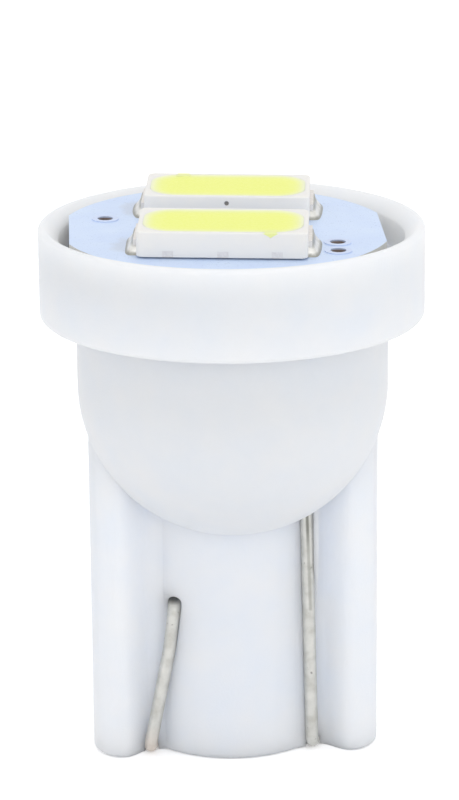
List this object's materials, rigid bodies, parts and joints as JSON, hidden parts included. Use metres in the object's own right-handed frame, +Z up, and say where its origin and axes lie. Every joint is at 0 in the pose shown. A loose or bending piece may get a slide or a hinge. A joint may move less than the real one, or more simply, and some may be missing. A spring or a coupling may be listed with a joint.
{
  "type": "wedge base led bulb",
  "caption": "Small LED bulb with a white plastic wedge base, bare wire contacts bent round its foot, and a cupped collar holding a round board with LED packages.",
  "frame": {"origin": "on the bulb's axis, at the level of the flat foot of the wedge, which the bulb stands on", "axes": "+Z up along the bulb's axis from the wedge to the LEDs, X along the width of the wedge, -Y the front face of the wedge with the long wire leg on the right"},
  "size_m": [0.0124, 0.0124, 0.0185],
  "materials": {
    "white_plastic": "fine satin white moulding",
    "board_mask": "pale blue white solder mask, satin",
    "led_white": "white moulded package, matt",
    "phosphor": "yellow silicone fill, soft sheen",
    "chip": "clear crystal, polished",
    "plated_metal": "tin plated, satin",
    "solder": "solder, bright and slightly grained",
    "tinned_wire": "drawn tinned copper wire, dulled",
    "ceramic": "glazed black ceramic"
  },
  "bodies": {
    "root": {"wedge_housing": "white_plastic", "circuit_board": "board_mask", "left_plated_hole": "plated_metal", "right_plated_hole": "plated_metal", "spare_plated_hole": "plated_metal", "front_led_body": "led_white", "front_led_phosphor": "phosphor", "front_led_chip": "chip", "front_led_cathode": "plated_metal", "front_led_anode": "plated_metal", "front_led_cathode_solder": "solder", "front_led_anode_solder": "solder", "rear_led_body": "led_white", "rear_led_phosphor": "phosphor", "rear_led_chip": "chip", "rear_led_cathode": "plated_metal", "rear_led_anode": "plated_metal", "rear_led_cathode_solder": "solder", "rear_led_anode_solder": "solder", "left_contact_wire": "tinned_wire", "left_wire_solder": "solder", "right_contact_wire": "tinned_wire", "right_wire_solder": "solder", "resistor_body": "ceramic", "resistor_left_cap": "plated_metal", "resistor_right_cap": "plated_metal", "resistor_left_solder": "solder", "resistor_right_solder": "solder"}
  },
  "joints": []
}
